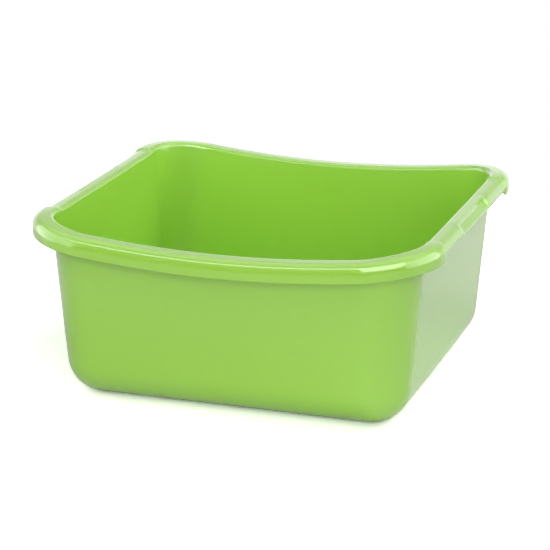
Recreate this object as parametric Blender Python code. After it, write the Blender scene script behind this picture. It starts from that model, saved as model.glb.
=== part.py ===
"""A nearly square washing-up basin, moulded in one piece from glossy green plastic.

It stands on a flat base, and its walls lean outward. At the top they turn out into a
hollow rolled rim with a hanging skirt. The front and back rims dip in a long arc. The
side rims are slimmer. In the middle of each, the rim steps down outside a flat strip, so
that a hand takes hold of it with the fingers underneath.
"""

import math

import bmesh
import bpy
import numpy as np

# Whole basin, in metres, +Z up, standing on z = 0
RIM_WIDTH = 0.330  # left to right, over the rolled rim
RIM_DEPTH = 0.318  # front to back, over the rolled rim
RIM_HEIGHT = 0.145  # at the corners, the highest places
CORNER_RADIUS = 0.056  # of the rim's outer line, seen from above

# Walls and floor
WALL_THICKNESS = 0.0025
FLOOR_THICKNESS = 0.0028
WALL_DRAFT = math.radians(5.0)
BASE_RADIUS = 0.029  # outside edge between wall and base
LEAST_FOOT_CORNER = 0.002  # corner radius that the flat base keeps

# Rolled rim
ROLL_REACH = 0.0144  # from the wall's outer face to the skirt's outer face
ROLL_THICKNESS = 0.0022
ROLL_RADIUS = 0.0075  # outer shoulder, from the top to the skirt
ROLL_SLOPE = math.radians(1.5)  # the top falls outward to shed water
SKIRT_DROP = 0.0150  # from the rim's top to the skirt's lower edge
LIP_RADIUS = 0.0040  # inner edge of the rim
UNDER_FILLET = 0.0018  # between the wall and the underside of the rim

# Rim line: long dips front and back, very shallow ones at the sides
FRONT_DIP = 0.0140
SIDE_DIP = 0.0008
DIP_END = 0.0090  # from the rim's outer line to where a dip ends
DIP_SOFTNESS = 0.4  # how gently a dip runs out, as a share of its depth

# The side rims are slimmer than the corners, after a short ramp
SIDE_RELIEF = 0.0013
SIDE_SKIRT_DROP = 0.0104
RELIEF_RAMP = 0.0060

# Hand grips: a flat strip, an upright step, a sloping ledge and a short skirt
GRIP_LENGTH = 0.085
GRIP_RAMP = 0.0018  # how far the face at each end leans
GRIP_OVERHANG = 0.0074  # from the wall's outer face to the strip's edge
GRIP_STEP = 0.0036  # height of the upright step
GRIP_SKIRT = 0.0026  # height of the skirt below the ledge
STRIP_EDGE_RADIUS = 0.0006
BEND_RADIUS = 0.0012  # between the step and the ledge
SHOULDER_RADIUS = 0.0018  # between the ledge and the skirt

# How finely the curves are drawn
CORNER_STEPS = 10
LONG_SIDE_STEPS = 10
GRIP_STEPS = 4
GAP_STEPS = 2
RAMP_STEPS = 3
BASE_STEPS = 6
LIP_STEPS = 4
EDGE_STEPS = 3
LEDGE_STEPS = 3
ROLL_STEPS = 12

PLASTIC_COLOUR = (0.254, 0.552, 0.058, 1.0)
PLASTIC_ROUGHNESS = 0.22

LEVEL = (1.0, 0.0)
UPRIGHT = (0.0, 1.0)
DRAFT = (math.sin(WALL_DRAFT), math.cos(WALL_DRAFT))
SLOPE = (math.cos(ROLL_SLOPE), -math.sin(ROLL_SLOPE))


def clear_scene():
    for obj in list(bpy.data.objects):
        bpy.data.objects.remove(obj)


def make_plastic():
    material = bpy.data.materials.new("green_plastic")
    material.use_nodes = True
    shader = material.node_tree.nodes["Principled BSDF"]
    shader.inputs["Base Color"].default_value = PLASTIC_COLOUR
    shader.inputs["Roughness"].default_value = PLASTIC_ROUGHNESS
    shader.inputs["Metallic"].default_value = 0.0
    material.diffuse_color = PLASTIC_COLOUR
    return material


def meet(point, direction, other, other_direction):
    """Where two lines meet in the section's plane."""
    cross = direction[0] * other_direction[1] - direction[1] * other_direction[0]
    away = (other[0] - point[0], other[1] - point[1])
    length = (away[0] * other_direction[1] - away[1] * other_direction[0]) / cross
    return (point[0] + direction[0] * length, point[1] + direction[1] * length)


def wall_line(z):
    """Outer face of the wall at height z, measured outward from the rim's outer line."""
    return -ROLL_REACH - (RIM_HEIGHT - z) * math.tan(WALL_DRAFT)


def base_radius():
    """The base's outer edge radius, as far as the corners leave room."""
    room = CORNER_RADIUS + wall_line(0) - LEAST_FOOT_CORNER
    return min(BASE_RADIUS, room / math.tan((math.pi / 2 - WALL_DRAFT) / 2))


def crest_loss():
    """How far the rounded crest of the rim lies below its sharp inner corner."""
    half = (math.pi / 2 + WALL_DRAFT - ROLL_SLOPE) / 2
    fall = math.sin(ROLL_SLOPE) / math.tan(half) - (1 - math.cos(ROLL_SLOPE))
    return LIP_RADIUS * fall


def fillet(before, corner, after, radius, steps):
    """Points of the arc that rounds one corner."""
    x, z = corner
    start = math.atan2(before[1] - z, before[0] - x)
    end = math.atan2(after[1] - z, after[0] - x)
    opening = (end - start + math.pi) % (2 * math.pi) - math.pi
    half = abs(opening) / 2
    middle = start + opening / 2
    centre = np.array([x + math.cos(middle) * radius / math.sin(half),
                       z + math.sin(middle) * radius / math.sin(half)])
    swing = math.copysign(math.pi - 2 * half, -opening)
    angles = middle + math.pi - swing / 2 + swing * np.linspace(0, 1, steps + 1)
    return centre + radius * np.column_stack((np.cos(angles), np.sin(angles)))


def between(start, end, steps):
    """Points strictly between two points."""
    return start + (end - start) * np.linspace(0, 1, steps + 1)[1:-1, None]


def distances(line):
    """Distance of each point along a line."""
    return np.concatenate(([0.0], np.cumsum(np.linalg.norm(np.diff(line, axis=0), axis=1))))


def at_distances(line, places):
    """Points at these distances along a line."""
    lengths = distances(line)
    return np.column_stack([np.interp(places, lengths, line[:, k]) for k in (0, 1)])


def crossing(line, outward):
    """Distance along a line at which it first passes this outward place."""
    lengths = distances(line)
    side = line[:, 0] - outward
    i = int(np.nonzero(side[:-1] * side[1:] <= 0)[0][0])
    return lengths[i] + (lengths[i + 1] - lengths[i]) * side[i] / (side[i] - side[i + 1])


class Section:
    """The basin in section at one place, as (outward, z) from the rim's outer line.

    top is the height of the rim's sharp inner corner, relief is how much slimmer the rim
    is than at a corner, and skirt_drop is how far the skirt hangs below the top.
    """

    def __init__(self, top, relief, skirt_drop):
        self.outer_wall = (wall_line(0), 0.0)
        self.inner_wall = (self.outer_wall[0] - WALL_THICKNESS / DRAFT[1], 0.0)
        self.lip = meet(self.inner_wall, DRAFT, (0.0, top), LEVEL)
        self.under = (self.lip[0], top - ROLL_THICKNESS / SLOPE[0])
        self.under_wall = meet(self.outer_wall, DRAFT, self.under, SLOPE)
        self.skirt_in = (-relief - ROLL_THICKNESS, top - skirt_drop)
        self.skirt_out = (-relief, top - skirt_drop)
        self.shoulder = meet(self.lip, SLOPE, self.skirt_out, UPRIGHT)
        self.under_shoulder = meet(self.under, SLOPE, self.skirt_in, UPRIGHT)

    def outer_foot(self):
        foot = meet(self.outer_wall, DRAFT, (0.0, 0.0), LEVEL)
        inward = (foot[0] - CORNER_RADIUS, 0.0)
        return fillet(inward, foot, self.under_wall, base_radius(), BASE_STEPS)

    def inner_foot(self):
        foot = meet(self.inner_wall, DRAFT, (0.0, FLOOR_THICKNESS), LEVEL)
        inward = (foot[0] - CORNER_RADIUS, FLOOR_THICKNESS)
        return fillet(self.lip, foot, inward, base_radius() - WALL_THICKNESS, BASE_STEPS)

    def under_bend(self):
        return fillet(self.outer_wall, self.under_wall, self.under_shoulder, UNDER_FILLET, EDGE_STEPS)

    def lip_bend(self):
        return fillet(self.shoulder, self.lip, self.inner_wall, LIP_RADIUS, LIP_STEPS)

    def skirt_edge(self):
        """The rounded lower edge, as its inner and its outer half."""
        radius = ROLL_THICKNESS * 0.48
        inner = fillet(self.under_shoulder, self.skirt_in, self.skirt_out, radius, EDGE_STEPS)
        outer = fillet(self.shoulder, self.skirt_out, self.skirt_in, radius, EDGE_STEPS)
        return inner, outer

    def joined(self, under_rim, over_rim):
        """The whole section. The two rim lines run outward, from the wall to the skirt."""
        inner_edge, outer_edge = self.skirt_edge()
        return np.vstack((
            self.outer_foot(),
            self.under_bend(),
            under_rim,
            inner_edge,
            outer_edge[::-1],
            over_rim[::-1],
            self.lip_bend(),
            self.inner_foot(),
        ))


def ledge_line(strip_end, foot, shoulder, skirt_start, radii):
    """A step, a ledge and the start of the skirt, with rounded bends."""
    flat = (strip_end[0] - ROLL_REACH, strip_end[1])
    turn = math.atan2(shoulder[0] - foot[0], foot[1] - shoulder[1])
    room = shoulder[1] - skirt_start[1]
    last_radius = min(radii[2], room / math.tan(turn / 2))
    edge = fillet(flat, strip_end, foot, radii[0], EDGE_STEPS)
    bend = fillet(strip_end, foot, shoulder, radii[1], EDGE_STEPS)
    last = fillet(foot, shoulder, (shoulder[0], skirt_start[1]), last_radius, EDGE_STEPS)
    return np.vstack((edge, bend, between(bend[-1], last[0], LEDGE_STEPS), last))


def grip_lines(section):
    """Underside and top of the rim at a grip, from the strip's edge to the skirt."""
    top = section.lip[1]
    inner_edge, outer_edge = section.skirt_edge()
    strip_end = (GRIP_OVERHANG - ROLL_REACH, top)
    foot = (strip_end[0], top - GRIP_STEP)
    shoulder = (section.skirt_out[0], section.skirt_out[1] + GRIP_SKIRT)
    run, fall = shoulder[0] - foot[0], foot[1] - shoulder[1]
    length = math.hypot(run, fall)
    along = (run / length, -fall / length)
    below = (foot[0] + ROLL_THICKNESS * along[1], foot[1] - ROLL_THICKNESS * along[0])
    under_end = (strip_end[0] - ROLL_THICKNESS, top - ROLL_THICKNESS)
    under_foot = meet(below, along, under_end, UPRIGHT)
    under_shoulder = meet(below, along, section.skirt_in, UPRIGHT)
    under_radii = (BEND_RADIUS, STRIP_EDGE_RADIUS, STRIP_EDGE_RADIUS)
    over_radii = (STRIP_EDGE_RADIUS, BEND_RADIUS, SHOULDER_RADIUS)
    under = ledge_line(under_end, under_foot, under_shoulder, inner_edge[0], under_radii)
    over = ledge_line(strip_end, foot, shoulder, outer_edge[0], over_radii)
    return (under, inner_edge[0]), (over, outer_edge[0])


def grip_section(top):
    section = Section(top, SIDE_RELIEF, SIDE_SKIRT_DROP)
    (under, _), (over, _) = grip_lines(section)
    under_middle = (section.under_bend()[-1] + under[0]) / 2
    over_middle = (section.lip_bend()[0] + over[0]) / 2
    return section.joined(np.vstack((under_middle, under)), np.vstack((over_middle, over)))


def rolled_line(start, before, corner, end, radius, guide):
    """A rolled rim's line, with its points spaced as on a grip's line."""
    bend = fillet(before, corner, (corner[0], end[1]), radius, ROLL_STEPS)
    line = np.vstack((start, bend, end))
    grip, grip_end = guide
    edge = crossing(line, grip[0, 0])
    lengths = distances(np.vstack((grip, grip_end)))
    places = edge + (distances(line)[-1] - edge) * lengths[:-1] / lengths[-1]
    return at_distances(line, np.concatenate(([edge / 2], places)))


def rolled_section(top, relief, skirt_drop):
    section = Section(top, relief, skirt_drop)
    guides = grip_lines(Section(top, SIDE_RELIEF, SIDE_SKIRT_DROP))
    inner_edge, outer_edge = section.skirt_edge()
    under = rolled_line(
        section.under_bend()[-1], section.under, section.under_shoulder,
        inner_edge[0], ROLL_RADIUS - ROLL_THICKNESS, guides[0],
    )
    over = rolled_line(
        section.lip_bend()[0], section.lip, section.shoulder,
        outer_edge[0], ROLL_RADIUS, guides[1],
    )
    return section.joined(under, over)


def spread(start, end, steps):
    """Values from start towards end, leaving end out."""
    return [start + (end - start) * i / steps for i in range(steps)]


def side_positions(half):
    """Places along a side rim from -half to half, close together in the ramps."""
    relief, grip = half - RELIEF_RAMP, GRIP_LENGTH / 2
    inside = grip - GRIP_RAMP
    return (
        spread(-half, -relief, RAMP_STEPS)
        + spread(-relief, -grip, GAP_STEPS)
        + spread(-grip, -inside, RAMP_STEPS)
        + spread(-inside, inside, GRIP_STEPS)
        + spread(inside, grip, RAMP_STEPS)
        + spread(grip, relief, GAP_STEPS)
        + spread(relief, half, RAMP_STEPS)
    )


def rim_stations():
    """Points on the rim's outer line with their outward direction, once round."""
    half_x = RIM_WIDTH / 2 - CORNER_RADIUS
    half_y = RIM_DEPTH / 2 - CORNER_RADIUS
    front = spread(-half_x, half_x, LONG_SIDE_STEPS)
    side = side_positions(half_y)
    sides = (
        (half_x, -half_y, 0.0, [(x, -RIM_DEPTH / 2) for x in front]),
        (half_x, half_y, 90.0, [(RIM_WIDTH / 2, y) for y in side]),
        (-half_x, half_y, 180.0, [(-x, RIM_DEPTH / 2) for x in front]),
        (-half_x, -half_y, 270.0, [(-RIM_WIDTH / 2, -y) for y in side]),
    )
    stations = []
    for centre_x, centre_y, turn, straight in sides:
        facing = math.radians(turn - 90)
        stations += [(x, y, math.cos(facing), math.sin(facing)) for x, y in straight]
        for angle in spread(facing, facing + math.pi / 2, CORNER_STEPS):
            across, along = math.cos(angle), math.sin(angle)
            x = centre_x + CORNER_RADIUS * across
            y = centre_y + CORNER_RADIUS * along
            stations.append((x, y, across, along))
    return stations


def arch(place):
    """1 in the middle of a dip, running out softly to 0 from place = 1 on."""
    rise = 1 - place * place
    return (rise + math.hypot(rise, DIP_SOFTNESS)) / 2


def rim_drop(x, y):
    """How far the rim lies below a level line at this place."""
    across = x / (RIM_WIDTH / 2 - DIP_END)
    along = y / (RIM_DEPTH / 2 - DIP_END)
    return FRONT_DIP * arch(across) + SIDE_DIP * arch(along)


def ramp(distance, length):
    """0 at the start of a ramp and 1 at its end, with a soft start and end."""
    share = min(max(distance / length, 0.0), 1.0)
    return share * share * (3 - 2 * share)


def section_at(y, facing_x, top):
    """The section at one station: rolled at the corners, slimmer and stepped at the sides."""
    section = rolled_section(top, 0.0, SKIRT_DROP)
    if abs(facing_x) < 1 - 1e-9:
        return section
    slim = rolled_section(top - SIDE_RELIEF, SIDE_RELIEF, SIDE_SKIRT_DROP)
    grip = grip_section(top - SIDE_RELIEF)
    in_side = ramp(RIM_DEPTH / 2 - CORNER_RADIUS - abs(y), RELIEF_RAMP)
    in_grip = ramp(GRIP_LENGTH / 2 - abs(y), GRIP_RAMP)
    return section + (slim - section) * in_side + (grip - slim) * in_grip


def make_basin():
    """One column of points for each station, joined into a closed skin."""
    stations = rim_stations()
    drops = [rim_drop(x, y) for x, y, _, _ in stations]
    shape = bmesh.new()
    columns = []
    for (x, y, facing_x, facing_y), drop in zip(stations, drops):
        section = section_at(y, facing_x, RIM_HEIGHT + crest_loss() - (drop - min(drops)))
        columns.append([shape.verts.new((x + facing_x * out, y + facing_y * out, z))
                        for out, z in section])
    for column, following in zip(columns, columns[1:] + columns[:1]):
        for i in range(len(column) - 1):
            shape.faces.new((column[i], following[i], following[i + 1], column[i + 1]))
    shape.faces.new([column[0] for column in reversed(columns)])
    shape.faces.new([column[-1] for column in columns])
    bmesh.ops.recalc_face_normals(shape, faces=shape.faces)
    mesh = bpy.data.meshes.new("basin")
    shape.to_mesh(mesh)
    shape.free()
    basin = bpy.data.objects.new("basin", mesh)
    bpy.context.scene.collection.objects.link(basin)
    return basin


def main():
    clear_scene()
    basin = make_basin()
    basin.data.materials.append(make_plastic())
    basin.data.shade_smooth()
    basin.data.set_sharp_from_angle(angle=math.radians(35))


main()
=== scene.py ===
"""A glossy green washing-up basin in a plain white studio.

The basin is one moulding, drawn as a grid: each station round the rim carries a
section that runs from the base up the outside of the wall, round the hollow rolled rim
and down the inside. The side rims are a little slimmer than the corners, and in the
middle of each the rim steps down outside a flat strip, where a hand takes hold.
"""

import math

import bmesh
import bpy
import numpy as np
from bpy.props import FloatProperty, FloatVectorProperty, PointerProperty
from mathutils import Matrix, Vector


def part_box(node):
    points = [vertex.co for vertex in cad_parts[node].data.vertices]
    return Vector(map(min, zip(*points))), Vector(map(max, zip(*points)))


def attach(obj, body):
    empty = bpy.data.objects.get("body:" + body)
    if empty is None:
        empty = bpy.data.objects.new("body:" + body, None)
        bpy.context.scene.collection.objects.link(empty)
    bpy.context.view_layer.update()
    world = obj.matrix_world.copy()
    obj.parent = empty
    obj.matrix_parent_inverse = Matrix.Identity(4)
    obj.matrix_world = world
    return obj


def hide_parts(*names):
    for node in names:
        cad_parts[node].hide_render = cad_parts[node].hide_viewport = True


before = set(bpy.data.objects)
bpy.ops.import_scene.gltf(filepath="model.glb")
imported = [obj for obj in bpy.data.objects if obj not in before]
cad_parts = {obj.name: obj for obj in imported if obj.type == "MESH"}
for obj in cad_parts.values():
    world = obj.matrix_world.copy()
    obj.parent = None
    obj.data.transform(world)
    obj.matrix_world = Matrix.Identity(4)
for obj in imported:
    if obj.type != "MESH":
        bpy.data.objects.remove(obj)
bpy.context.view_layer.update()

bl_info = {
    "name": "Washing-up basin",
    "version": (1, 0, 0),
    "blender": (4, 5, 0),
    "location": "3D View > Sidebar > Basin",
    "description": "Builds a glossy plastic washing-up basin and a plain studio for it",
    "category": "Object",
}

NODE = "basin"
SLOT = "green_plastic"
LOW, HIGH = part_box(NODE)

# How finely the surfaces are drawn: stations round the rim, and steps along a section
CORNER_STATIONS = 28
LONG_SIDE_STATIONS = 48
# From the middle of a side rim to a corner: half the grip, the grip's ramp, the slim rim,
# the relief's ramp and the last stretch
SIDE_STATIONS = (12, 12, 12, 12, 3)
BASE_STEPS = 14
WALL_STEPS = 8
LIP_STEPS = 12
UNDER_STEPS = 8
STRIP_STEPS = 5
ROLL_STEPS = 24
EDGE_STEPS = 6
BEND_STEPS = 6
STEP_STEPS = 4
LEDGE_STEPS = 9

# Directions in a section, as (outward, z)
LEVEL = (1.0, 0.0)
UPRIGHT = (0.0, 1.0)

# Rounding of the skirt's lower edge on each side, as a share of the rim's thickness
SKIRT_EDGE_SHARE = 0.48

# A station on a side rim faces along x at least this squarely
SQUARE_ON = 1 - 1e-9

# The plastic, the smooth skin that the mould leaves, and how both vary over the basin
PLASTIC_IOR = 1.49
SKIN_IOR = 1.6
SKIN_ROUGHNESS = 0.08
TINT_SCALE = 9.0
TINT_DARKEST = 0.97
ROUGHNESS_SPREAD = (0.9, 1.1)
RIPPLE_SCALE = 28.0
RIPPLE_STRENGTH = 0.03
RIPPLE_HEIGHT = 0.002

# Sockets of a Mix node by number, for plain numbers and for colours
NUMBER_A, NUMBER_B = 2, 3
COLOUR_A, COLOUR_B, COLOUR_OUT = 6, 7, 2

# Soft lights that the plastic doesn't mirror: name, turn to the right of the front and
# rise above the floor in degrees, width and height, light level on the basin. At level 1
# a surface that faces the light shows its own colour.
SOFT_LIGHTS = (
    ("front_light", 20, 17, (2.2, 1.5), 0.73),
    ("left_light", -70, 40, (2.2, 2.2), 0.48),
    ("right_light", 132, 38, (2.2, 2.2), 0.93),
    ("top_light", 0, 48, (2.2, 2.2), 0.14),
)
SOFT_LIGHT_DISTANCE = 2.7

# Softboxes that only show as highlights: as above, with their own brightness at the end,
# where 1 is white
SOFTBOXES = (
    ("left_softbox", -67, 15, (3.3, 2.2), 2.0),
    ("right_softbox", 98, 19, (2.8, 2.0), 2.0),
    ("front_softbox", 27, 38, (2.2, 1.7), 4.6),
    ("line_softbox", -34, 51, (1.1, 0.4), 3.5),
)
SOFTBOX_DISTANCE = 2.0

# The floor: half its width, its gap below the basin, its paleness to matt surfaces and in
# the gloss, what is added to that for the camera, and its glow from halfway to the edge
FLOOR_REACH = 0.6
FLOOR_GAP = 0.0002
FLOOR_MATT = 0.6
FLOOR_MIRRORED = 0.75
FLOOR_BRIGHT = 0.75
FLOOR_GLOW = (0.1, 1.0)

# Brightness of the studio in the gloss, by the sine of the height above the horizon
SKY_STOPS = ((0.0, 1.15), (0.2, 1.15), (0.32, 0.7), (0.6, 0.7), (0.8, 1.3))
# In front of the basin it is this share of that: at the first y of a direction, rising
# to the whole at the second
FRONT_SHARE = 0.15
FRONT_FADE = (-0.45, 0.05)

# Width of the camera's sensor in millimetres
SENSOR_WIDTH = 36.0


def length_property(name, description, millimetres):
    """A length, given here in millimetres and kept in metres."""
    return FloatProperty(
        name=name,
        description=description,
        default=millimetres / 1000,
        min=0.0001,
        subtype="DISTANCE",
        unit="LENGTH",
        precision=4,
    )


def angle_property(name, description, degrees):
    """An angle, given here in degrees and kept in radians."""
    return FloatProperty(
        name=name,
        description=description,
        default=math.radians(degrees),
        subtype="ANGLE",
        unit="ROTATION",
    )


class BasinSizes(bpy.types.PropertyGroup):
    """Sizes of the basin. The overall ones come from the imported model."""

    rim_width: length_property("Rim width", "Left to right over the rim", 1000 * (HIGH.x - LOW.x))
    rim_depth: length_property("Rim depth", "Front to back over the rim", 1000 * (HIGH.y - LOW.y))
    rim_height: length_property("Rim height", "Height of the four corners", 1000 * HIGH.z)
    corner_radius: length_property("Corner radius", "Rim's outer line from above", 56)
    wall_thickness: length_property("Wall thickness", "Thickness of the walls", 2.5)
    floor_thickness: length_property("Floor thickness", "Thickness of the floor", 2.8)
    base_radius: length_property("Base radius", "Outer edge between wall and base", 29)
    foot_corner: length_property("Foot corner", "Corner radius that the base keeps", 2)
    roll_reach: length_property("Roll reach", "From the wall to the skirt's outer face", 14.4)
    roll_thickness: length_property("Roll thickness", "Thickness of the rolled rim", 2.2)
    roll_radius: length_property("Roll radius", "Outer shoulder of the rolled rim", 7.5)
    skirt_drop: length_property("Skirt drop", "From the rim's top to the skirt's edge", 15)
    lip_radius: length_property("Lip radius", "Inner edge of the rim", 4)
    under_fillet: length_property("Under fillet", "Between the wall and the rim", 1.8)
    front_dip: length_property("Front dip", "How far the front and back rims dip", 14)
    side_dip: length_property("Side dip", "How far the side rims dip", 0.8)
    dip_end: length_property("Dip end", "From the rim's outer line to a dip's end", 9)
    side_relief: length_property("Side relief", "How much slimmer the side rims are", 1.3)
    side_skirt_drop: length_property(
        "Side skirt drop", "From a side rim's top to its skirt's edge", 10.4
    )
    relief_start: length_property("Relief start", "From a corner to the slimmer rim", 3)
    relief_ramp: length_property("Relief ramp", "Length of the ramp into the relief", 5)
    grip_length: length_property("Grip length", "Length of the stepped part of a side rim", 85)
    grip_ramp: length_property("Grip ramp", "Depth of the rounded face at a grip's end", 1.8)
    grip_overhang: length_property("Grip overhang", "From the wall to the strip's edge", 7.4)
    grip_step: length_property("Grip step", "Upright step outside the strip", 3.6)
    grip_skirt: length_property("Grip skirt", "Height of the skirt below the ledge", 2.6)
    strip_edge: length_property("Strip edge", "Rounding of the strip's edge", 0.6)
    bend_radius: length_property("Bend radius", "Between the step and the ledge", 1.2)
    shoulder_radius: length_property("Shoulder radius", "Between the ledge and the skirt", 1.8)
    dip_softness: FloatProperty(
        name="Dip softness",
        description="How gently a dip runs out, as a share of its depth",
        default=0.4,
        min=0.0,
        max=1.0,
        subtype="FACTOR",
    )
    wall_draft: angle_property("Wall draft", "How far the walls lean outward", 5.0)
    roll_slope: angle_property("Roll slope", "How far the rim's top falls outward", 1.5)


class BasinFinish(bpy.types.PropertyGroup):
    """Colour and gloss of the plastic."""

    colour: FloatVectorProperty(
        name="Colour",
        description="Colour of the plastic",
        default=(0.302, 0.590, 0.058, 1.0),
        size=4,
        min=0.0,
        max=1.0,
        subtype="COLOR",
    )
    roughness: FloatProperty(
        name="Roughness",
        description="0 is mirror-like and 1 is matt",
        default=0.18,
        min=0.0,
        max=1.0,
        subtype="FACTOR",
    )
    skin_gloss: FloatProperty(
        name="Skin gloss",
        description="Strength of the smooth skin that the mould leaves",
        default=0.8,
        min=0.0,
        max=1.0,
        subtype="FACTOR",
    )


class StudioSettings(bpy.types.PropertyGroup):
    """Where the camera stands and how bright the studio is."""

    camera_place: FloatVectorProperty(
        name="Camera place",
        description="Where the camera stands",
        default=(0.5492, -1.6562, 0.61805),
        size=3,
        subtype="TRANSLATION",
        unit="LENGTH",
    )
    camera_turn: FloatVectorProperty(
        name="Camera turn",
        description="Turn to the left, tilt down and roll of the camera",
        default=(0.32194, 0.30208, 0.0),
        size=3,
        subtype="EULER",
        unit="ROTATION",
    )
    lens: FloatProperty(
        name="Lens",
        description="Focal length for a 36 mm sensor",
        default=146.82,
        min=10.0,
        unit="CAMERA",
    )
    surround: FloatProperty(
        name="Surround",
        description="Even light from all round on matt surfaces",
        default=0.04,
        min=0.0,
    )
    soft_light: FloatProperty(
        name="Soft light",
        description="Brightness of all the soft lights; 1 as drawn up",
        default=1.0,
        min=0.0,
    )
    softbox: FloatProperty(
        name="Softboxes",
        description="Brightness of the softboxes that the plastic mirrors; 1 as drawn up",
        default=1.0,
        min=0.0,
    )


# Section of the wall and rim, as (outward, z) from the rim's outer line


def meet(point, direction, other, other_direction):
    """Where two lines meet in the section's plane."""
    cross = direction[0] * other_direction[1] - direction[1] * other_direction[0]
    away = (other[0] - point[0], other[1] - point[1])
    length = (away[0] * other_direction[1] - away[1] * other_direction[0]) / cross
    return (point[0] + direction[0] * length, point[1] + direction[1] * length)


def wall_line(sizes, z):
    """Outer face of the wall at height z."""
    return -sizes.roll_reach - (sizes.rim_height - z) * math.tan(sizes.wall_draft)


def base_radius(sizes):
    """The base's edge radius, as far as the corners leave room."""
    room = sizes.corner_radius + wall_line(sizes, 0.0) - sizes.foot_corner
    return min(sizes.base_radius, room / math.tan((math.pi / 2 - sizes.wall_draft) / 2))


def crest_loss(sizes):
    """How far the rounded crest of the rim lies below its sharp inner corner."""
    half = (math.pi / 2 + sizes.wall_draft - sizes.roll_slope) / 2
    fall = math.sin(sizes.roll_slope) / math.tan(half) - (1 - math.cos(sizes.roll_slope))
    return sizes.lip_radius * fall


def inward_of(point):
    """A place far inward of a point, at its height."""
    return (point[0] - 1.0, point[1])


def fillet(before, corner, after, radius, steps):
    """Points of the arc that rounds one corner."""
    x, z = corner
    start = math.atan2(before[1] - z, before[0] - x)
    end = math.atan2(after[1] - z, after[0] - x)
    opening = (end - start + math.pi) % (2 * math.pi) - math.pi
    half = abs(opening) / 2
    middle = start + opening / 2
    reach = radius / math.sin(half)
    centre = np.array([x + math.cos(middle) * reach, z + math.sin(middle) * reach])
    swing = math.copysign(math.pi - 2 * half, -opening)
    angles = middle + math.pi - swing / 2 + swing * np.linspace(0, 1, steps + 1)
    return centre + radius * np.column_stack((np.cos(angles), np.sin(angles)))


def between(start, end, steps):
    """Points strictly between two points."""
    share = np.linspace(0, 1, steps + 1)[1:-1, None]
    return start + (end - start) * share


def distances(line):
    """Distance of each point along a line."""
    return np.concatenate(([0.0], np.cumsum(np.linalg.norm(np.diff(line, axis=0), axis=1))))


def at_distances(line, places):
    """Points at these distances along a line."""
    lengths = distances(line)
    return np.column_stack([np.interp(places, lengths, line[:, k]) for k in (0, 1)])


def crossing(line, outward):
    """Distance along a line at which it first passes this outward place."""
    lengths = distances(line)
    side = line[:, 0] - outward
    i = int(np.nonzero(side[:-1] * side[1:] <= 0)[0][0])
    share = side[i] / (side[i] - side[i + 1])
    return lengths[i] + (lengths[i + 1] - lengths[i]) * share


class Section:
    """The basin in section at one place, whatever its rim.

    top is the height of the rim's sharp inner corner, relief is how much slimmer the rim
    is than at a corner, and skirt_drop is how far the skirt hangs below the top.
    """

    def __init__(self, sizes, top, relief, skirt_drop):
        self.sizes = sizes
        draft = (math.sin(sizes.wall_draft), math.cos(sizes.wall_draft))
        slope = (math.cos(sizes.roll_slope), -math.sin(sizes.roll_slope))
        self.outer_wall = (wall_line(sizes, 0.0), 0.0)
        self.inner_wall = (self.outer_wall[0] - sizes.wall_thickness / draft[1], 0.0)
        self.outer_corner = meet(self.outer_wall, draft, (0.0, 0.0), LEVEL)
        self.inner_corner = meet(self.inner_wall, draft, (0.0, sizes.floor_thickness), LEVEL)
        self.lip = meet(self.inner_wall, draft, (0.0, top), LEVEL)
        self.under = (self.lip[0], top - sizes.roll_thickness / slope[0])
        self.under_wall = meet(self.outer_wall, draft, self.under, slope)
        self.skirt_in = (-relief - sizes.roll_thickness, top - skirt_drop)
        self.skirt_out = (-relief, top - skirt_drop)
        self.shoulder = meet(self.lip, slope, self.skirt_out, UPRIGHT)
        self.under_shoulder = meet(self.under, slope, self.skirt_in, UPRIGHT)

    def outer_foot(self):
        """From the underside of the base round to the wall."""
        corner, radius = self.outer_corner, base_radius(self.sizes)
        return fillet(inward_of(corner), corner, self.under_wall, radius, BASE_STEPS)

    def inner_foot(self):
        """From the wall round to the bowl's floor."""
        corner, radius = self.inner_corner, base_radius(self.sizes) - self.sizes.wall_thickness
        return fillet(self.lip, corner, inward_of(corner), radius, BASE_STEPS)

    def under_bend(self):
        """From the wall out to the underside of the rim."""
        radius = self.sizes.under_fillet
        return fillet(self.outer_wall, self.under_wall, self.under_shoulder, radius, UNDER_STEPS)

    def lip_bend(self):
        """From the top of the rim down into the bowl."""
        return fillet(self.shoulder, self.lip, self.inner_wall, self.sizes.lip_radius, LIP_STEPS)

    def skirt_edge(self):
        """The skirt's rounded lower edge, as its inner and its outer half."""
        radius = self.sizes.roll_thickness * SKIRT_EDGE_SHARE
        inner = fillet(self.under_shoulder, self.skirt_in, self.skirt_out, radius, EDGE_STEPS)
        outer = fillet(self.shoulder, self.skirt_out, self.skirt_in, radius, EDGE_STEPS)
        return inner, outer

    def joined(self, under_rim, over_rim):
        """The whole section. The two rim lines run outward, from the wall to the skirt."""
        outer_foot, under_bend = self.outer_foot(), self.under_bend()
        lip_bend, inner_foot = self.lip_bend(), self.inner_foot()
        inner_edge, outer_edge = self.skirt_edge()
        return np.vstack((
            outer_foot,
            between(outer_foot[-1], under_bend[0], WALL_STEPS),
            under_bend,
            under_rim,
            inner_edge,
            outer_edge[::-1],
            over_rim[::-1],
            lip_bend,
            between(lip_bend[-1], inner_foot[0], WALL_STEPS),
            inner_foot,
        ))


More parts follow.
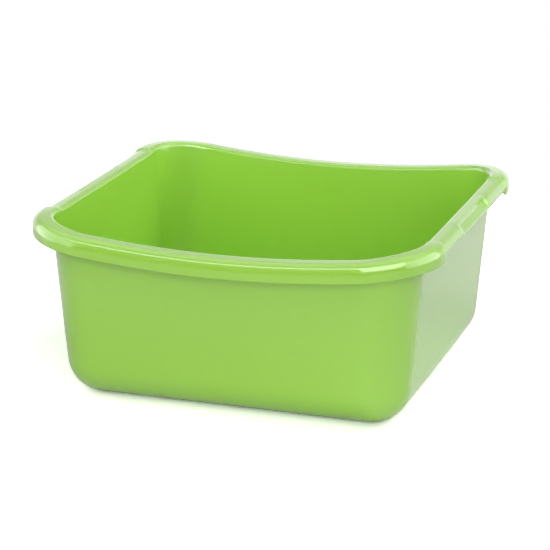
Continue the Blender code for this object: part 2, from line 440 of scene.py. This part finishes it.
def ledge_line(strip_end, foot, shoulder, skirt_start, radii):
    """A step, a ledge and the start of the skirt, with rounded bends."""
    edge_radius, bend_radius, last_radius = radii
    turn = math.atan2(shoulder[0] - foot[0], foot[1] - shoulder[1])
    room = (shoulder[1] - skirt_start[1]) / math.tan(turn / 2)
    skirt = (shoulder[0], skirt_start[1])
    edge = fillet(inward_of(strip_end), strip_end, foot, edge_radius, BEND_STEPS)
    bend = fillet(strip_end, foot, shoulder, bend_radius, BEND_STEPS)
    last = fillet(foot, shoulder, skirt, min(last_radius, room), BEND_STEPS)
    return np.vstack((
        edge,
        between(edge[-1], bend[0], STEP_STEPS),
        bend,
        between(bend[-1], last[0], LEDGE_STEPS),
        last,
    ))


def grip_lines(section):
    """Underside and top of the rim at a grip, each as its line and the line's end.

    The lines run from the strip's edge to where the skirt's edge begins.
    """
    sizes = section.sizes
    thickness = sizes.roll_thickness
    top = section.lip[1]
    inner_edge, outer_edge = section.skirt_edge()
    strip_end = (sizes.grip_overhang - sizes.roll_reach, top)
    foot = (strip_end[0], top - sizes.grip_step)
    shoulder = (section.skirt_out[0], section.skirt_out[1] + sizes.grip_skirt)
    run, fall = shoulder[0] - foot[0], foot[1] - shoulder[1]
    length = math.hypot(run, fall)
    along = (run / length, -fall / length)
    below = (foot[0] + thickness * along[1], foot[1] - thickness * along[0])
    under_end = (strip_end[0] - thickness, top - thickness)
    under_foot = meet(below, along, under_end, UPRIGHT)
    under_shoulder = meet(below, along, section.skirt_in, UPRIGHT)
    under_radii = (sizes.bend_radius, sizes.strip_edge, sizes.strip_edge)
    over_radii = (sizes.strip_edge, sizes.bend_radius, sizes.shoulder_radius)
    under = ledge_line(under_end, under_foot, under_shoulder, inner_edge[0], under_radii)
    over = ledge_line(strip_end, foot, shoulder, outer_edge[0], over_radii)
    return (under, inner_edge[0]), (over, outer_edge[0])


def side_section(sizes, top):
    """The lines and arcs of a side rim, below this height of a corner's rim."""
    return Section(sizes, top - sizes.side_relief, sizes.side_relief, sizes.side_skirt_drop)


def grip_section(sizes, top):
    """A section through a grip: a flat strip, a step, a ledge and the skirt."""
    section = side_section(sizes, top)
    (under, _), (over, _) = grip_lines(section)
    under_strip = between(section.under_bend()[-1], under[0], STRIP_STEPS)
    over_strip = between(section.lip_bend()[0], over[0], STRIP_STEPS)
    return section.joined(np.vstack((under_strip, under)), np.vstack((over_strip, over)))


def rolled_line(start, before, corner, end, radius, guide):
    """A rolled rim's line, with its points spaced as on a grip's line."""
    bend = fillet(before, corner, (corner[0], end[1]), radius, ROLL_STEPS)
    line = np.vstack((start, bend, end))
    grip, grip_end = guide
    edge = crossing(line, grip[0, 0])
    lengths = distances(np.vstack((grip, grip_end)))
    strip = edge * np.linspace(0, 1, STRIP_STEPS + 1)[1:-1]
    roll = edge + (distances(line)[-1] - edge) * lengths[:-1] / lengths[-1]
    return at_distances(line, np.concatenate((strip, roll)))


def rolled_section(section, guides):
    """A section through the rolled rim. Its points match those of a grip's section."""
    radius, thickness = section.sizes.roll_radius, section.sizes.roll_thickness
    inner_edge, outer_edge = section.skirt_edge()
    under = rolled_line(
        section.under_bend()[-1], section.under, section.under_shoulder,
        inner_edge[0], radius - thickness, guides[0],
    )
    over = rolled_line(
        section.lip_bend()[0], section.lip, section.shoulder,
        outer_edge[0], radius, guides[1],
    )
    return section.joined(under, over)


def corner_section(sizes, top):
    """A section with the full rolled rim, as at the corners and the long sides."""
    guides = grip_lines(side_section(sizes, top))
    return rolled_section(Section(sizes, top, 0.0, sizes.skirt_drop), guides)


def slim_section(sizes, top):
    """A section with the slimmer rolled rim of the sides, next to a grip."""
    section = side_section(sizes, top)
    return rolled_section(section, grip_lines(section))


# Stations round the rim


def side_places(sizes, half):
    """Places along a side rim, closer together in the ramps."""
    grip = sizes.grip_length / 2
    relief = half - sizes.relief_start
    ends = (0, grip - sizes.grip_ramp, grip, relief - sizes.relief_ramp, relief, half)
    upper = np.concatenate([
        np.linspace(start, end, count + 1)[1:]
        for start, end, count in zip(ends, ends[1:], SIDE_STATIONS)
    ])
    return np.concatenate((-upper[::-1], [0.0], upper))


def rim_stations(sizes):
    """Stations once round: (x, y, outward x, outward y) on the rim's outer line."""
    half_x = sizes.rim_width / 2 - sizes.corner_radius
    half_y = sizes.rim_depth / 2 - sizes.corner_radius
    front = np.linspace(-half_x, half_x, LONG_SIDE_STATIONS + 1)
    side = side_places(sizes, half_y)
    quarters = (
        (front, half_x, half_y, sizes.rim_depth / 2),
        (side, half_y, half_x, sizes.rim_width / 2),
    ) * 2
    stations = []
    for number, (along, end, reach, outer) in enumerate(quarters):
        turn = Matrix.Rotation((number - 1) * math.pi / 2, 2)
        across = turn @ Vector((1, 0))
        for place in along[:-1]:
            stations.append((*(turn @ Vector((outer, place))), *across))
        for angle in np.linspace(0, math.pi / 2, CORNER_STATIONS + 1)[:-1]:
            out = Vector((math.cos(angle), math.sin(angle)))
            place = Vector((reach, end)) + sizes.corner_radius * out
            stations.append((*(turn @ place), *(turn @ out)))
    return np.array(stations)


def arch(place, softness):
    """1 in the middle of a dip, running out softly to 0 from place = 1 on."""
    rise = 1 - place * place
    return (rise + np.hypot(rise, softness)) / 2


def rim_drop(sizes, x, y):
    """How far the rim lies below a level line at this place."""
    across = x / (sizes.rim_width / 2 - sizes.dip_end)
    along = y / (sizes.rim_depth / 2 - sizes.dip_end)
    front = sizes.front_dip * arch(across, sizes.dip_softness)
    return front + sizes.side_dip * arch(along, sizes.dip_softness)


def ramp(distance, length):
    """0 at the start of a ramp and 1 at its end, with a soft start and end."""
    share = min(max(distance / length, 0.0), 1.0)
    return share * share * (3 - 2 * share)


def section_at(sizes, y, facing_x, top):
    """The section at one station: rolled at the corners, slimmer and stepped at the sides."""
    section = corner_section(sizes, top)
    if abs(facing_x) < SQUARE_ON:
        return section
    slim = slim_section(sizes, top)
    start = sizes.rim_depth / 2 - sizes.corner_radius - sizes.relief_start
    in_side = ramp(start - abs(y), sizes.relief_ramp)
    in_grip = ramp(sizes.grip_length / 2 - abs(y), sizes.grip_ramp)
    return section + (slim - section) * in_side + (grip_section(sizes, top) - slim) * in_grip


def basin_points(sizes, stations):
    """All points as an array: station, place in the section, xyz."""
    drops = rim_drop(sizes, stations[:, 0], stations[:, 1])
    tops = sizes.rim_height + crest_loss(sizes) + drops.min() - drops
    grid = []
    for (x, y, facing_x, facing_y), top in zip(stations, tops):
        line = section_at(sizes, y, facing_x, top)
        out, z = line[:, 0], line[:, 1]
        grid.append(np.column_stack((x + facing_x * out, y + facing_y * out, z)))
    return np.array(grid)


def make_basin_mesh(sizes):
    """The moulding: a closed skin of quads with one flat face above and one below."""
    grid = basin_points(sizes, rim_stations(sizes))
    stations, places = grid.shape[:2]
    faces = []
    for i in range(stations):
        here, there = i * places, (i + 1) % stations * places
        for k in range(places - 1):
            faces.append((here + k, there + k, there + k + 1, here + k + 1))
    faces.append([i * places for i in reversed(range(stations))])
    faces.append([i * places + places - 1 for i in range(stations)])
    mesh = bpy.data.meshes.new("basin_moulding")
    mesh.from_pydata(grid.reshape(-1, 3).tolist(), [], faces)
    shape = bmesh.new()
    shape.from_mesh(mesh)
    bmesh.ops.recalc_face_normals(shape, faces=shape.faces)
    shape.to_mesh(mesh)
    shape.free()
    mesh.shade_smooth()
    return mesh


# Finish of the plastic


def node(tree, kind, **values):
    """A shader node. Values that aren't settings of the node are inputs by name."""
    made = tree.nodes.new(kind)
    for key, value in values.items():
        if hasattr(made, key):
            setattr(made, key, value)
        else:
            made.inputs[key.replace("_", " ").title()].default_value = value
    return made


def link_all(tree, links):
    """Link each output to its socket."""
    for output, socket in links:
        tree.links.new(output, socket)


def grey(level):
    """A neutral colour."""
    return (level, level, level, 1)


def soft_ramp(tree, start, end, low, high):
    """A node that goes softly from low to high as its value goes from start to end."""
    return node(
        tree, "ShaderNodeMapRange", interpolation_type="SMOOTHSTEP",
        from_min=start, from_max=end, to_min=low, to_max=high,
    )


def plastic_material(finish):
    """Smooth moulded plastic: a faint ripple, and colour and gloss that vary a little."""
    material = bpy.data.materials.new(SLOT)
    material.use_nodes = True
    tree = material.node_tree
    shader = tree.nodes["Principled BSDF"]
    shader.inputs["IOR"].default_value = PLASTIC_IOR
    shader.inputs["Coat Weight"].default_value = finish.skin_gloss
    shader.inputs["Coat Roughness"].default_value = SKIN_ROUGHNESS
    shader.inputs["Coat IOR"].default_value = SKIN_IOR
    place = node(tree, "ShaderNodeTexCoord")
    clouds = node(tree, "ShaderNodeTexNoise", scale=TINT_SCALE, detail=2.0)
    tint = node(tree, "ShaderNodeMix", data_type="RGBA")
    darkest = [TINT_DARKEST * channel for channel in finish.colour[:3]]
    tint.inputs[COLOUR_A].default_value = darkest + [1.0]
    tint.inputs[COLOUR_B].default_value = finish.colour
    smoothest, roughest = (finish.roughness * share for share in ROUGHNESS_SPREAD)
    sheen = node(tree, "ShaderNodeMapRange", to_min=smoothest, to_max=roughest)
    ripple = node(tree, "ShaderNodeTexNoise", scale=RIPPLE_SCALE, detail=1.0)
    bump = node(tree, "ShaderNodeBump", strength=RIPPLE_STRENGTH, distance=RIPPLE_HEIGHT)
    link_all(tree, (
        (place.outputs["Object"], clouds.inputs["Vector"]),
        (place.outputs["Object"], ripple.inputs["Vector"]),
        (clouds.outputs["Fac"], tint.inputs[0]),
        (clouds.outputs["Fac"], sheen.inputs["Value"]),
        (tint.outputs[COLOUR_OUT], shader.inputs["Base Color"]),
        (sheen.outputs["Result"], shader.inputs["Roughness"]),
        (ripple.outputs["Fac"], bump.inputs["Height"]),
        (bump.outputs["Normal"], shader.inputs["Normal"]),
    ))
    return material


# Studio


def matt_shader(tree, level):
    """A matt white of this paleness."""
    shader = node(tree, "ShaderNodeBsdfDiffuse")
    shader.inputs["Color"].default_value = grey(level)
    return shader


def floor_to_camera(tree, mirrored):
    """The floor overexposed, so that only deep shadow shows on it.

    Towards its edge it glows, so the edge doesn't show against the world.
    """
    bright = matt_shader(tree, FLOOR_BRIGHT)
    glow = node(tree, "ShaderNodeEmission")
    place = node(tree, "ShaderNodeTexCoord")
    distance = node(tree, "ShaderNodeVectorMath", operation="LENGTH")
    fade = soft_ramp(tree, FLOOR_REACH / 2, FLOOR_REACH, *FLOOR_GLOW)
    exposed = node(tree, "ShaderNodeAddShader")
    lifted = node(tree, "ShaderNodeAddShader")
    link_all(tree, (
        (place.outputs["Object"], distance.inputs[0]),
        (distance.outputs["Value"], fade.inputs["Value"]),
        (fade.outputs[0], glow.inputs["Strength"]),
        (bright.outputs[0], exposed.inputs[0]),
        (mirrored.outputs[0], exposed.inputs[1]),
        (exposed.outputs[0], lifted.inputs[0]),
        (glow.outputs[0], lifted.inputs[1]),
    ))
    return lifted


def floor_material():
    """White floor, of its own paleness to matt surfaces, in the gloss and to the camera."""
    material = bpy.data.materials.new("white_floor")
    material.use_nodes = True
    tree = material.node_tree
    tree.nodes.clear()
    output = node(tree, "ShaderNodeOutputMaterial")
    path = node(tree, "ShaderNodeLightPath")
    matt = matt_shader(tree, FLOOR_MATT)
    mirrored = matt_shader(tree, FLOOR_MIRRORED)
    to_camera = floor_to_camera(tree, mirrored)
    for_gloss = node(tree, "ShaderNodeMixShader")
    for_camera = node(tree, "ShaderNodeMixShader")
    link_all(tree, (
        (path.outputs["Is Glossy Ray"], for_gloss.inputs[0]),
        (matt.outputs[0], for_gloss.inputs[1]),
        (mirrored.outputs[0], for_gloss.inputs[2]),
        (path.outputs["Is Camera Ray"], for_camera.inputs[0]),
        (for_gloss.outputs[0], for_camera.inputs[1]),
        (to_camera.outputs[0], for_camera.inputs[2]),
        (for_camera.outputs[0], output.inputs["Surface"]),
    ))
    return material


def make_floor():
    """A small white table top: beyond its edge the world is as white to the camera."""
    shape = bmesh.new()
    bmesh.ops.create_grid(shape, x_segments=1, y_segments=1, size=FLOOR_REACH)
    mesh = bpy.data.meshes.new("studio_floor")
    shape.to_mesh(mesh)
    shape.free()
    floor = bpy.data.objects.new("studio_floor", mesh)
    bpy.context.scene.collection.objects.link(floor)
    floor.location.z = LOW.z - FLOOR_GAP
    mesh.materials.append(floor_material())


def sky_ramp(tree):
    """A node that gives the studio's brightness by height."""
    ramp = node(tree, "ShaderNodeValToRGB")
    stops = ramp.color_ramp.elements
    for number, (position, level) in enumerate(SKY_STOPS):
        stop = stops[number] if number < 2 else stops.new(position)
        stop.position = position
        stop.color = grey(level)
    return ramp


def studio_in_gloss(tree):
    """Brightness of the studio in the gloss: by height, and darker in front."""
    place = node(tree, "ShaderNodeTexCoord")
    split = node(tree, "ShaderNodeSeparateXYZ")
    height = sky_ramp(tree)
    front = soft_ramp(tree, *FRONT_FADE, FRONT_SHARE, 1.0)
    brightness = node(tree, "ShaderNodeMath", operation="MULTIPLY")
    link_all(tree, (
        (place.outputs["Generated"], split.inputs[0]),
        (split.outputs["Z"], height.inputs["Fac"]),
        (split.outputs["Y"], front.inputs["Value"]),
        (height.outputs["Color"], brightness.inputs[0]),
        (front.outputs[0], brightness.inputs[1]),
    ))
    return brightness


def make_world(studio):
    """The white studio round the basin.

    To the camera it is white, and to matt surfaces it is a dim even light. In the gloss
    it is darker in front of the basin than behind it.
    """
    world = bpy.data.worlds.new("white_studio")
    world.use_nodes = True
    bpy.context.scene.world = world
    tree = world.node_tree
    background = tree.nodes["Background"]
    background.inputs["Color"].default_value = grey(1)
    path = node(tree, "ShaderNodeLightPath")
    mirrored = studio_in_gloss(tree)
    glossy = node(tree, "ShaderNodeMix", data_type="FLOAT")
    glossy.inputs[NUMBER_A].default_value = studio.surround
    camera = node(tree, "ShaderNodeMix", data_type="FLOAT")
    camera.inputs[NUMBER_B].default_value = 1.0
    link_all(tree, (
        (path.outputs["Is Glossy Ray"], glossy.inputs[0]),
        (mirrored.outputs[0], glossy.inputs[NUMBER_B]),
        (path.outputs["Is Camera Ray"], camera.inputs[0]),
        (glossy.outputs[0], camera.inputs[NUMBER_A]),
        (camera.outputs[0], background.inputs["Strength"]),
    ))


def area_light(name, turn, rise, distance, size, power):
    """A rectangular soft light that faces the basin."""
    data = bpy.data.lights.new(name, "AREA")
    data.shape = "RECTANGLE"
    data.size, data.size_y = size
    data.energy = power
    light = bpy.data.objects.new(name, data)
    bpy.context.scene.collection.objects.link(light)
    swing = Matrix.Rotation(math.radians(turn), 4, "Z")
    tilt = Matrix.Rotation(math.radians(90 - rise), 4, "X")
    middle = Matrix.Translation((0, 0, HIGH.z / 2))
    light.matrix_world = middle @ swing @ tilt @ Matrix.Translation((0, 0, distance))
    return light


def make_lights(studio):
    """Soft lights for the colour of the plastic, and softboxes for its highlights."""
    for name, turn, rise, size, level in SOFT_LIGHTS:
        power = (math.pi * SOFT_LIGHT_DISTANCE) ** 2 * level * studio.soft_light
        light = area_light(name, turn, rise, SOFT_LIGHT_DISTANCE, size, power)
        light.visible_glossy = False
    for name, turn, rise, size, brightness in SOFTBOXES:
        power = math.pi * size[0] * size[1] * brightness * studio.softbox
        softbox = area_light(name, turn, rise, SOFTBOX_DISTANCE, size, power)
        softbox.visible_diffuse = False


def make_camera(studio):
    """The camera: turned to the left, then tilted down, then rolled."""
    data = bpy.data.cameras.new("camera")
    data.sensor_fit = "HORIZONTAL"
    data.sensor_width = SENSOR_WIDTH
    data.lens = studio.lens
    camera = bpy.data.objects.new("camera", data)
    bpy.context.scene.collection.objects.link(camera)
    left, down, roll = studio.camera_turn
    turn = Matrix.Rotation(left, 4, "Z") @ Matrix.Rotation(math.pi / 2 - down, 4, "X")
    turn = turn @ Matrix.Rotation(roll, 4, "Z")
    camera.matrix_world = Matrix.Translation(studio.camera_place) @ turn
    bpy.context.scene.camera = camera


# Operators and panel


class BASIN_OT_moulding(bpy.types.Operator):
    """Build the basin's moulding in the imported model's place"""

    bl_idname = "basin.moulding"
    bl_label = "Basin"

    def execute(self, context):
        mesh = make_basin_mesh(context.scene.basin_sizes)
        mesh.materials.append(plastic_material(context.scene.basin_finish))
        piece = bpy.data.objects.new("basin_moulding", mesh)
        context.scene.collection.objects.link(piece)
        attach(piece, "root")
        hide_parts(NODE)
        return {"FINISHED"}


class BASIN_OT_studio(bpy.types.Operator):
    """Build the floor, the lights and the camera"""

    bl_idname = "basin.studio"
    bl_label = "Studio"

    def execute(self, context):
        studio = context.scene.basin_studio
        context.scene.view_settings.view_transform = "Standard"
        make_floor()
        make_world(studio)
        make_lights(studio)
        make_camera(studio)
        return {"FINISHED"}


class BASIN_PT_panel(bpy.types.Panel):
    """Sizes, finish and studio of the basin"""

    bl_idname = "BASIN_PT_panel"
    bl_label = "Washing-up basin"
    bl_space_type = "VIEW_3D"
    bl_region_type = "UI"
    bl_category = "Basin"

    def draw(self, context):
        scene = context.scene
        for group in (scene.basin_sizes, scene.basin_finish, scene.basin_studio):
            box = self.layout.box()
            for name in group.__annotations__:
                box.prop(group, name)
        self.layout.operator(BASIN_OT_moulding.bl_idname)
        self.layout.operator(BASIN_OT_studio.bl_idname)


CLASSES = (
    BasinSizes,
    BasinFinish,
    StudioSettings,
    BASIN_OT_moulding,
    BASIN_OT_studio,
    BASIN_PT_panel,
)


def register():
    for each in CLASSES:
        bpy.utils.register_class(each)
    bpy.types.Scene.basin_sizes = PointerProperty(type=BasinSizes)
    bpy.types.Scene.basin_finish = PointerProperty(type=BasinFinish)
    bpy.types.Scene.basin_studio = PointerProperty(type=StudioSettings)


def unregister():
    del bpy.types.Scene.basin_studio
    del bpy.types.Scene.basin_finish
    del bpy.types.Scene.basin_sizes
    for each in reversed(CLASSES):
        bpy.utils.unregister_class(each)


def main():
    register()
    bpy.ops.basin.moulding()
    bpy.ops.basin.studio()


if __name__ == "__main__":
    main()
